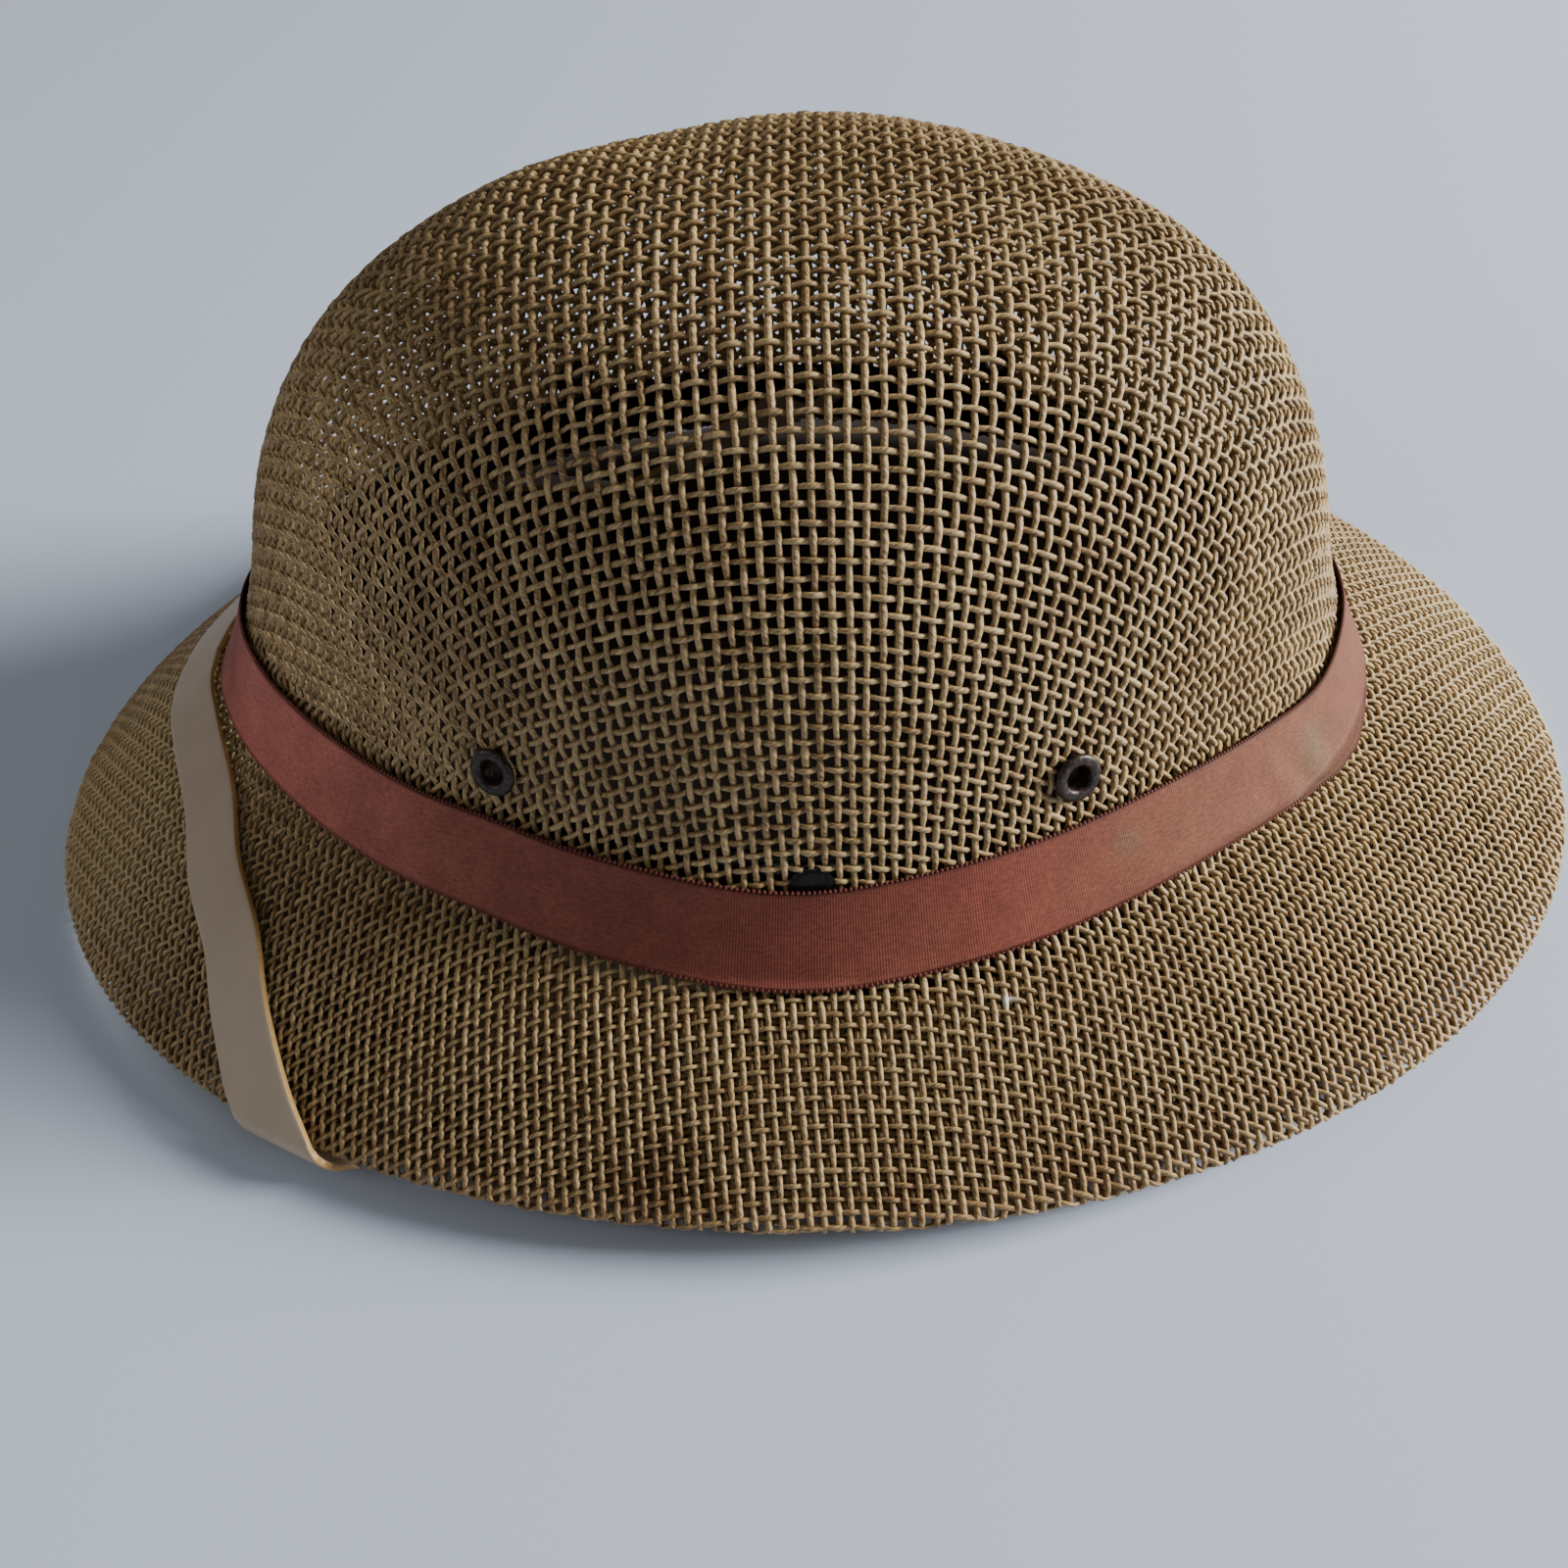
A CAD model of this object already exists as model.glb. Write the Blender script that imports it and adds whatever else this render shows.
"""A sun helmet of open woven straw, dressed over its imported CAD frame.

The straw is real strands, woven over and under on a net that is draped over the helmet's surface.
Lengths are millimetres until a mesh is made, and -X is the helmet's front.
"""

import logging
from dataclasses import dataclass, field
from enum import Enum

import bmesh
import bpy
import numpy as np
from mathutils import Matrix


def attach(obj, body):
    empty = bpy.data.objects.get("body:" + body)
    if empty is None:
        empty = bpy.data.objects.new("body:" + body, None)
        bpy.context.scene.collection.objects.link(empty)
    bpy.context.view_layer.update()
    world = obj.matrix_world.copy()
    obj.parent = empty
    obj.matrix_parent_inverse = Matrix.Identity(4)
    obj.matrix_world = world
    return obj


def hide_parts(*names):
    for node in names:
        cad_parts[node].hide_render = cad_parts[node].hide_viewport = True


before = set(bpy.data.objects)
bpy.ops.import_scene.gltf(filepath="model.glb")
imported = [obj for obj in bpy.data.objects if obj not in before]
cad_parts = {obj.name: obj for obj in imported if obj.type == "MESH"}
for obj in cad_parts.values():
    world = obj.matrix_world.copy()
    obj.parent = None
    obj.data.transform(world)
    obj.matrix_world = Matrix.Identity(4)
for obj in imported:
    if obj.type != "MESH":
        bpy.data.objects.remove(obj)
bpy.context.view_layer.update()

MM = 0.001
TINY = 1e-9
TURN_STEP = 0.01
RISE_STEP = 0.1
REACH_STEP = 0.02
LOG = logging.getLogger("pith_helmet")
Array = np.ndarray


def linear(code: str) -> tuple[float, float, float, float]:
    """Turns an sRGB hex colour into linear light with full alpha."""
    parts = [int(code[k:k + 2], 16) / 255 for k in (0, 2, 4)]
    return (*[p / 12.92 if p < 0.04045 else ((p + 0.055) / 1.055) ** 2.4 for p in parts], 1.0)


def unit(vectors: Array) -> Array:
    """Vectors of length one along the last axis."""
    return vectors / np.maximum(np.linalg.norm(vectors, axis=-1, keepdims=True), 1e-12)


def smoothstep(value: Array, low: float, high: float) -> Array:
    """0 below low, 1 above high, and 3t^2 - 2t^3 between."""
    t = np.clip((value - low) / (high - low), 0, 1)
    return t * t * (3 - 2 * t)


class Family(Enum):
    """The two families of strands: lengthways over the helmet, and crossways."""

    LENGTHWAYS = 0
    CROSSWAYS = 1


@dataclass(frozen=True)
class Dent:
    """A low bump or dent in the top, as shares of the crown's half lengths, width and height."""

    along: float
    across: float
    reach: float
    rise: float


@dataclass
class HelmetForm:
    """The helmet's own surface, the same one that the CAD model is built on."""

    brim_front: float = 174.5
    brim_back: float = 160.5
    brim_half_width: float = 130.0
    brim_wall: float = 3.0
    brim_bow: float = 1.5
    side_lift: float = 7.5
    rim_wear: float = 0.4
    crown_front: float = 116.0
    crown_back: float = 108.0
    crown_half_width: float = 83.0
    crown_wall: float = 2.0
    crown_height: float = 103.0
    crown_shift: float = -3.3
    crown_lean: float = 2.4
    root_height: float = 30.0
    quarter_draw: float = 0.22
    wall_round: float = 3.1
    top_round: float = 2.1
    foot_flare: float = 10.0
    foot_height: float = 35.0
    table_steps: int = 3000
    dents: tuple[Dent, ...] = (
        Dent(-0.42, 0.25, 0.3, 0.014), Dent(-0.22, 0.3, 0.2, -0.014),
        Dent(0.12, 0.3, 0.35, 0.01), Dent(0.45, -0.3, 0.3, -0.012))

    def __post_init__(self) -> None:
        """Tables the height of a mean meridian against its length from the top."""
        arch = np.linspace(0, np.pi / 2, self.table_steps)
        spread = np.sin(arch) ** (2 / self.wall_round)
        rise = self.crown_height * np.cos(arch) ** (2 / self.top_round)
        reach = (self.crown_front + self.crown_half_width) / 2 * spread + self.flare(rise)
        arc = np.concatenate([[0], np.cumsum(np.hypot(np.diff(reach), np.diff(rise)))])
        self.arc_length = float(arc[-1])
        self.arc_share = arc / arc[-1]
        self.arc_rise = rise

    @property
    def middle(self) -> float:
        """Where the middle of the brim's oval lies along X."""
        return (self.brim_front - self.brim_back) / 2

    def flare(self, rise: Array) -> Array:
        """How far the wall sweeps out: the flare times (1 - rise / foot height) squared."""
        return self.foot_flare * np.maximum(1 - rise / self.foot_height, 0) ** 2

    def crown(self, turn: Array, rise: Array) -> Array:
        """Outside of the crown.

        The plan is an oval with unequal ends, drawn in at its quarters. It shrinks upwards by
        (1 - h^top)^(1/wall), sweeps out at the foot, and leans back.

        Args:
            turn: angle from the back, in radians.
            rise: height over the root.

        Returns:
            Points, with X, Y, Z on the last axis.
        """
        c, s = np.cos(turn), np.sin(turn)
        x = np.where(c < 0, self.crown_front, self.crown_back) * c
        y = self.crown_half_width * s * (1 - self.quarter_draw * c * c)
        share = np.clip(rise / self.crown_height, 0, 1)
        scale = (1 - share ** self.top_round) ** (1 / self.wall_round)
        scale = scale + self.flare(rise) / np.hypot(x, y)
        x, y = x * scale, y * scale
        lift = rise + 0.0
        for dent in self.dents:
            half = self.crown_front if dent.along < 0 else self.crown_back
            dx = (x - dent.along * half) / self.crown_half_width
            dy = y / self.crown_half_width - dent.across
            bump = np.exp(-(dx * dx + dy * dy) / dent.reach ** 2)
            lift = lift + dent.rise * self.crown_height * bump * share ** 4
        lean = np.radians(self.crown_lean)
        x = x + self.crown_shift
        return np.stack([x * np.cos(lean) + lift * np.sin(lean) + self.middle, y + 0 * lift,
                         lift * np.cos(lean) - x * np.sin(lean) + self.root_height], -1)

    def crown_normal(self, turn: Array, rise: Array) -> Array:
        """Outward normal of the crown, from differences along and up.

        Args:
            turn: angle from the back.
            rise: height over the root.

        Returns:
            The normals.
        """
        along = self.crown(turn + TURN_STEP, rise) - self.crown(turn - TURN_STEP, rise)
        up = self.crown(turn, rise + RISE_STEP) - self.crown(turn, rise - RISE_STEP)
        return unit(np.cross(along, up))

    def rim(self, turn: Array) -> Array:
        """The middle of the rim's round edge: an oval that rises with the sine squared.

        Args:
            turn: angle from the back.

        Returns:
            The points.
        """
        c, s = np.cos(turn), np.sin(turn)
        inset = self.brim_wall / 2
        x = (np.where(c < 0, self.brim_front, self.brim_back) - inset) * c
        return np.stack([self.middle + x, (self.brim_half_width - inset) * s,
                         inset - self.rim_wear + self.side_lift * s * s], -1)

    def slope_normal(self, turn: Array) -> Array:
        """Normal of the straight slope from the root to the rim.

        Args:
            turn: angle from the back.

        Returns:
            The normals.
        """
        zero = np.zeros_like(turn)
        ahead = self.crown(turn + TURN_STEP, zero) + self.rim(turn + TURN_STEP)
        behind = self.crown(turn - TURN_STEP, zero) + self.rim(turn - TURN_STEP)
        return unit(np.cross(ahead - behind, self.crown(turn, zero) - self.rim(turn)))

    def brim(self, turn: Array, reach: Array) -> Array:
        """The middle of the brim's wall, straight from root to rim and bowed by a sine.

        Args:
            turn: angle from the back.
            reach: 0 at the root and 1 at the rim.

        Returns:
            The points.
        """
        root = self.crown(turn, np.zeros_like(turn)) - self.slope_normal(turn) * self.brim_wall / 2
        point = root + (self.rim(turn) - root) * reach[..., None]
        point[..., 2] += self.brim_bow * np.sin(np.pi * np.clip(reach, 0, 1))
        return point

    def brim_normal(self, turn: Array, reach: Array) -> Array:
        """Outward normal of the brim, from differences along and inwards.

        Args:
            turn: angle from the back.
            reach: 0 at the root and 1 at the rim.

        Returns:
            The normals.
        """
        along = self.brim(turn + TURN_STEP, reach) - self.brim(turn - TURN_STEP, reach)
        inwards = self.brim(turn, reach - REACH_STEP) - self.brim(turn, reach + REACH_STEP)
        return unit(np.cross(along, inwards))

    def outside(self, place: Array) -> Array:
        """Outside of the straw at a place on the flat map.

        The map is polar: its angle is the turn, and its distance is 0 at the top, 1 at the root
        and 2 at the rim, even along a meridian.

        Args:
            place: map coordinates on the last axis.

        Returns:
            Points on the outside of the crown or the brim.
        """
        far = np.hypot(place[..., 0], place[..., 1])
        turn = np.arctan2(place[..., 1], place[..., 0])
        rise = np.interp(np.clip(far, 0, 1), self.arc_share, self.arc_rise)
        brim = self.brim(turn, np.maximum(far - 1, 0))
        brim = brim + self.slope_normal(turn) * self.brim_wall / 2
        return np.where((far < 1)[..., None], self.crown(turn, rise), brim)

    def outside_normal(self, place: Array) -> Array:
        """Outward normal of the outside.

        Args:
            place: map coordinates on the last axis.

        Returns:
            The normals.
        """
        step = 0.004
        east = self.outside(place + [step, 0]) - self.outside(place - [step, 0])
        north = self.outside(place + [0, step]) - self.outside(place - [0, step])
        return unit(np.cross(east, north))


FORM = HelmetForm()


@dataclass
class DrapedNet:
    """Where the strands cross: a net draped over the form as cloth is pulled over a block.

    Neighbours lie a pitch apart both ways, so the cells keep their sides and shear into narrow
    diamonds on the quarters. It is solved coarse first, each level with twice the strands.
    """

    crown_pitch: float = 2.68
    brim_pitch: float = 2.38
    half_length: float = 300.0
    half_width: float = 265.0
    brim_run: float = 53.0
    stiffness: float = 0.16
    closest: float = 1.3
    push_share: float = 0.7
    last_ring: float = 2.2
    coarse_margin: float = 0.3
    step_share: float = 0.35
    longest_step: float = 0.45
    momentum: float = 0.85
    gain: float = 0.5
    sweeps: tuple[int, ...] = (300, 110, 45)

    def pitch(self, far: Array) -> Array:
        """Pitch at a distance on the flat map: wider on the crown than on the brim."""
        drop = smoothstep(far, 0.8, 1.25)
        return self.crown_pitch + (self.brim_pitch - self.crown_pitch) * drop

    def solve(self, form: HelmetForm) -> Array:
        """Lays the net.

        Args:
            form: the surface that it is draped over.

        Returns:
            Map coordinates of each crossing, with the lengthways index on the first axis.
        """
        coarse = 2 ** (len(self.sweeps) - 1)
        step = self.crown_pitch * coarse
        along, across = (np.arange(-int(half / step), int(half / step) + 1) * step / form.arc_length
                         for half in (self.half_length, self.half_width))
        net = np.stack(np.meshgrid(along, across, indexing="ij"), -1)
        far = np.hypot(net[..., 0], net[..., 1])
        brim = 1 + (far - 1) * form.arc_length / self.brim_run
        net *= (np.where(far > 1, brim, far) / np.maximum(far, TINY))[..., None]
        for level, sweeps in enumerate(self.sweeps):
            net = self.relax(form, net, coarse / 2 ** level, sweeps)
            if level < len(self.sweeps) - 1:
                net = self.double(self.double(net).swapaxes(0, 1)).swapaxes(0, 1)
        return net

    @staticmethod
    def double(net: Array) -> Array:
        """Puts a row halfway between rows, by the four-point rule (-1, 9, 9, -1) / 16.

        Args:
            net: crossings, with the rows on the first axis.

        Returns:
            The net with almost twice the rows.
        """
        half = (net[1:] + net[:-1]) / 2
        half[1:-1] = (9 * (net[1:-2] + net[2:-1]) - net[:-3] - net[3:]) / 16
        full = np.empty((2 * len(net) - 1, *net.shape[1:]))
        full[::2], full[1::2] = net, half
        return full

    def relax(self, form: HelmetForm, net: Array, coarseness: float, sweeps: int) -> Array:
        """Moves the crossings over the surface until the cloth is at ease.

        The sum of the pulls is turned into a step on the map through the surface's two
        tangents, with some momentum kept.

        Args:
            form: the surface.
            net: map coordinates of the crossings.
            coarseness: how many pitches lie between neighbours.
            sweeps: number of steps.

        Returns:
            The moved net.
        """
        far = np.hypot(net[..., 0], net[..., 1])
        held = far < self.last_ring + self.coarse_margin * (coarseness > 1)
        where = held.nonzero()
        speed = np.zeros_like(net)
        small = 2e-3
        for _ in range(sweeps):
            place = net[where]
            point = form.outside(place)
            east = (form.outside(place + [small, 0]) - point) / small
            north = (form.outside(place + [0, small]) - point) / small
            cloth = np.zeros((*net.shape[:2], 3))
            cloth[where] = point
            force = self.pulls(net, cloth, held, coarseness)[where]
            ee, nn = (east * east).sum(-1), (north * north).sum(-1)
            en = (east * north).sum(-1)
            fe, fn = (east * force).sum(-1), (north * force).sum(-1)
            whole = ee * nn * (1 + 1e-6) - en * en + TINY
            step = np.stack([nn * fe - en * fn, ee * fn - en * fe], -1)
            step = step / whole[:, None] * self.step_share
            most = self.longest_step * self.crown_pitch / form.arc_length
            size = np.linalg.norm(step, axis=-1, keepdims=True)
            step *= np.minimum(1, most / np.maximum(size, TINY))
            speed[where] = self.momentum * speed[where] + step * self.gain
            net[where] += speed[where]
        return net

    def pulls(self, net: Array, cloth: Array, held: Array, coarseness: float) -> Array:
        """Sums the pulls on each crossing.

        Springs pull neighbours to the pitch, push diagonals no nearer than a strand's width, and
        straighten each strand by its second difference.

        Args:
            net: map coordinates of the crossings.
            cloth: their points on the surface.
            held: which of them take part.
            coarseness: how many pitches lie between neighbours.

        Returns:
            A pull for each crossing.
        """
        wanted = self.pitch(np.hypot(net[..., 0], net[..., 1])) * coarseness
        pull = np.zeros_like(cloth)
        rows, less, more = slice(None), slice(None, -1), slice(1, None)
        ties = (((more, rows), (less, rows), (wanted[1:] + wanted[:-1]) / 2, False),
                ((rows, more), (rows, less), (wanted[:, 1:] + wanted[:, :-1]) / 2, False),
                ((more, more), (less, less), self.closest * coarseness, True),
                ((more, less), (less, more), self.closest * coarseness, True))
        for one, two, rest, push_only in ties:
            gap = cloth[one] - cloth[two]
            long = np.maximum(np.linalg.norm(gap, axis=-1), 1e-6)
            over = long - rest
            over = np.minimum(over, 0) * self.push_share if push_only else over
            force = (over * (held[one] & held[two]) / long)[..., None] * gap
            pull[one] -= force
            pull[two] += force
        for axis in (0, 1):
            turned = np.moveaxis(cloth, axis, 0)
            kept = np.moveaxis(held, axis, 0)
            bend = turned[2:] - 2 * turned[1:-1] + turned[:-2]
            kept = (kept[2:] & kept[1:-1] & kept[:-2])[..., None]
            np.moveaxis(pull, axis, 0)[1:-1] += self.stiffness * bend * kept
        return pull


def add_node(tree: bpy.types.NodeTree, kind: str, inputs: dict | None = None,
             **settings: object) -> bpy.types.Node:
    """Adds a shader node.

    Args:
        tree: the material's node tree.
        kind: the node's type name.
        inputs: input name or index, with the output socket that feeds it or its fixed value.
        settings: the node's own properties.

    Returns:
        The node.
    """
    node = tree.nodes.new(kind)
    for key, value in settings.items():
        setattr(node, key, value)
    for key, value in (inputs or {}).items():
        if isinstance(value, bpy.types.NodeSocket):
            tree.links.new(value, node.inputs[key])
        else:
            node.inputs[key].default_value = value
    return node


def fresh_material(name: str, fixed: dict[str, object]) -> tuple[
        bpy.types.Material, bpy.types.NodeTree, bpy.types.Node]:
    """Makes a material with one Principled shader.

    Args:
        name: the finish's name.
        fixed: the shader's constants by socket name.

    Returns:
        The material, its tree and the shader.
    """
    material = bpy.data.materials.new(name)
    material.use_nodes = True
    shader = material.node_tree.nodes["Principled BSDF"]
    for key, value in fixed.items():
        shader.inputs[key].default_value = value
    return material, material.node_tree, shader


def add_object(name: str, mesh: bpy.types.Mesh, material: bpy.types.Material) -> bpy.types.Object:
    """Puts a mesh with its finish into the scene, at the origin.

    Args:
        name: the object's name.
        mesh: its mesh.
        material: its finish.

    Returns:
        The object.
    """
    mesh.materials.append(material)
    piece = bpy.data.objects.new(name, mesh)
    bpy.context.collection.objects.link(piece)
    return piece


def add_value(mesh: bpy.types.Mesh, name: str, value: Array) -> None:
    """Gives a mesh a named number for each vertex."""
    layer = mesh.attributes.new(name, "FLOAT", "POINT")
    layer.data.foreach_set("value", value.astype(np.float32).ravel())


def add_mesh(name: str, points: Array, quads: Array, material: bpy.types.Material,
             uv: Array | None = None, values: dict[str, Array] | None = None) -> bpy.types.Object:
    """Makes one smooth mesh object in metres and lets it ride on the helmet's only body.

    Args:
        name: the piece's name.
        points: vertices in millimetres.
        quads: four vertex numbers a face.
        material: its finish.
        uv: texture place of each face corner, four to a face.
        values: named numbers, one a vertex.

    Returns:
        The object.
    """
    mesh = bpy.data.meshes.new(name)
    mesh.vertices.add(len(points))
    mesh.vertices.foreach_set("co", (points * MM).astype(np.float32).ravel())
    mesh.loops.add(quads.size)
    mesh.loops.foreach_set("vertex_index", quads.astype(np.int32).ravel())
    mesh.polygons.add(len(quads))
    mesh.polygons.foreach_set("loop_start", np.arange(0, quads.size, 4, dtype=np.int32))
    mesh.polygons.foreach_set("use_smooth", np.ones(len(quads), dtype=bool))
    if uv is not None:
        layer = mesh.uv_layers.new(name="UVMap")
        layer.data.foreach_set("uv", uv.astype(np.float32).ravel())
    for key, value in (values or {}).items():
        add_value(mesh, key, value)
    mesh.update(calc_edges=True)
    mesh.validate()
    piece = add_object(name, mesh, material)
    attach(piece, "root")
    LOG.info("%s: %d faces", name, len(quads))
    return piece


def outward(mesh: bpy.types.Mesh) -> None:
    """Recalculates a closed mesh's faces so that they point outwards.

    Args:
        mesh: the mesh, changed in place.
    """
    work = bmesh.new()
    work.from_mesh(mesh)
    bmesh.ops.recalc_face_normals(work, faces=work.faces)
    work.to_mesh(mesh)
    work.free()


def grid_quads(rows: int, columns: int, wrap_rows: bool) -> Array:
    """Quads of a grid of vertices numbered row by row, whose columns close on themselves.

    Args:
        rows: number of rows.
        columns: number of columns.
        wrap_rows: whether the last row also meets the first.

    Returns:
        Four vertex numbers a face.
    """
    r = np.arange(rows if wrap_rows else rows - 1)[:, None]
    c = np.arange(columns)[None]
    r2, c2 = (r + 1) % rows, (c + 1) % columns
    return np.stack([r * columns + c, r * columns + c2, r2 * columns + c2, r2 * columns + c],
                    -1).reshape(-1, 4)


def grid_uv(rows: Array, columns: Array) -> Array:
    """Face corner UVs for grid_quads.

    Args:
        rows: the value at each row's cut, in order, with the closing one.
        columns: the same for the columns.

    Returns:
        A pair for each face corner.
    """
    r0, c0 = np.meshgrid(rows[:-1], columns[:-1], indexing="ij")
    r1, c1 = np.meshgrid(rows[1:], columns[1:], indexing="ij")
    corners = [np.stack([c0, r0], -1), np.stack([c1, r0], -1), np.stack([c1, r1], -1),
               np.stack([c0, r1], -1)]
    return np.stack(corners, 2).reshape(-1, 2)


def beside_axis(points: Array, seat: Array, axis: Array) -> tuple[Array, Array]:
    """Measures points against an axis.

    Args:
        points: the points.
        seat: a point on the axis.
        axis: its direction.

    Returns:
        Distance from the axis, and distance along it from the seat either way.
    """
    gap = points - seat
    above = gap @ axis
    return np.linalg.norm(gap - above[..., None] * axis, axis=-1), np.abs(above)


@dataclass(frozen=True)
class Blot:
    """A round mark on the straw: its middle, its soft and full radius in millimetres, and tone."""

    place: tuple[float, float, float]
    outer: float
    inner: float
    tone: str
    strength: float


@dataclass(frozen=True)
class PaperStraw:
    """Toyo paper straw: rolled tissue twisted into cord, then woven.

    Twisting leaves one soft groove and fine fibres that wind round each strand, and the strands
    differ a little in colour. It is matt with a faint waxy gloss.
    """

    light: str = "C4AB7D"
    dark: str = "6B5230"
    stain: str = "7A5028"
    twist: float = 3.4
    groove_tone: float = 0.08
    fibre_tone: float = 0.6
    fibre_height: float = 0.4
    groove_depth: float = 0.09
    patch_size: float = 22.2
    blots: tuple[Blot, ...] = (
        Blot((-150.0, -25.0, 15.0), 62.0, 20.0, "DCC79A", 0.5),
        Blot((158.0, 10.0, 15.0), 56.0, 20.0, "E2CDA2", 0.4),
        Blot((37.7, -95.7, 25.8), 1.9, 0.9, "D9D6CE", 0.85),
        Blot((-24.0, -122.5, 12.5), 13.0, 2.0, "5A3A1C", 0.5),
        Blot((104.0, -92.0, 18.0), 16.0, 2.0, "8A5A28", 0.35),
        Blot((-60.0, -62.0, 84.0), 24.0, 4.0, "5C4322", 0.4),
        Blot((60.0, -66.0, 92.0), 20.0, 4.0, "6A4B26", 0.3))

    def material(self, name: str) -> bpy.types.Material:
        """Builds the finish: strand colour, brown stains in soft patches, blots, and bump.

        Args:
            name: the material's name.

        Returns:
            The material.
        """
        material, tree, shader = fresh_material(name, {"Roughness": 0.55, "Specular IOR Level": 0.4})
        uv = add_node(tree, "ShaderNodeTexCoord")
        place = add_node(tree, "ShaderNodeSeparateXYZ", {0: uv.outputs["UV"]})
        # The groove winds round the strand each twist length, and finer fibres lie beside it.
        turns = add_node(tree, "ShaderNodeMath", {0: place.outputs["X"], 1: 1 / self.twist},
                         operation="MULTIPLY")
        spiral = add_node(tree, "ShaderNodeMath", {0: turns.outputs[0], 1: place.outputs["Y"]},
                          operation="ADD")
        angle = add_node(tree, "ShaderNodeMath", {0: spiral.outputs[0], 1: 4 * np.pi},
                         operation="MULTIPLY")
        groove = add_node(tree, "ShaderNodeMath", {0: angle.outputs[0]}, operation="SINE")
        fibre_place = add_node(tree, "ShaderNodeCombineXYZ",
                               {0: place.outputs["X"], 1: spiral.outputs[0]})
        fibre_map = add_node(tree, "ShaderNodeMapping",
                             {"Vector": fibre_place.outputs[0], "Scale": (0.8, 9.0, 1.0)})
        fibres = add_node(tree, "ShaderNodeTexNoise",
                          {"Vector": fibre_map.outputs[0], "Scale": 1.0, "Detail": 3.0})
        streak = add_node(tree, "ShaderNodeMapRange",
                          {"Value": fibres.outputs["Fac"], "From Min": 0.3, "From Max": 0.7,
                           "To Min": -self.fibre_tone, "To Max": self.fibre_tone})
        hollow = add_node(tree, "ShaderNodeMath",
                          {0: groove.outputs[0], 1: self.groove_tone, 2: streak.outputs[0]},
                          operation="MULTIPLY_ADD")
        tint = add_node(tree, "ShaderNodeAttribute", attribute_name="tint")
        ramp = add_node(tree, "ShaderNodeMath", {0: tint.outputs["Fac"], 1: hollow.outputs[0]},
                        operation="ADD", use_clamp=True)
        colour = add_node(tree, "ShaderNodeMix", {"Factor": ramp.outputs[0], 6: linear(self.dark),
                                                  7: linear(self.light)}, data_type="RGBA")
        worn = add_node(tree, "ShaderNodeTexNoise", {"Vector": uv.outputs["Object"], "Detail": 5.0,
                                                     "Roughness": 0.6,
                                                     "Scale": 1 / (self.patch_size * MM)})
        stain = add_node(tree, "ShaderNodeAttribute", attribute_name="stain")
        patch = add_node(tree, "ShaderNodeMath", {0: stain.outputs["Fac"], 1: worn.outputs["Fac"]},
                         operation="MULTIPLY")
        soft = add_node(tree, "ShaderNodeMapRange", {"Value": patch.outputs[0], "From Min": 0.2,
                                                     "From Max": 0.75, "To Max": 0.5})
        colour = add_node(tree, "ShaderNodeMix", {"Factor": soft.outputs[0], 6: colour.outputs[2],
                                                  7: linear(self.stain)}, data_type="RGBA")
        for blot in self.blots:
            away = add_node(tree, "ShaderNodeVectorMath",
                            {0: uv.outputs["Object"], 1: [v * MM for v in blot.place]},
                            operation="DISTANCE")
            near = add_node(tree, "ShaderNodeMapRange",
                            {"Value": away.outputs["Value"], "From Min": blot.outer * MM,
                             "From Max": blot.inner * MM, "To Max": blot.strength})
            colour = add_node(tree, "ShaderNodeMix",
                              {"Factor": near.outputs[0], 6: colour.outputs[2],
                               7: linear(blot.tone)}, data_type="RGBA")
        tree.links.new(colour.outputs[2], shader.inputs["Base Color"])
        height = add_node(tree, "ShaderNodeMath",
                          {0: groove.outputs[0], 1: self.fibre_height, 2: fibres.outputs["Fac"]},
                          operation="MULTIPLY_ADD")
        bump = add_node(tree, "ShaderNodeBump", {"Height": height.outputs[0], "Strength": 0.8,
                                                 "Distance": self.groove_depth * MM})
        tree.links.new(bump.outputs[0], shader.inputs["Normal"])
        return material


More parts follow.
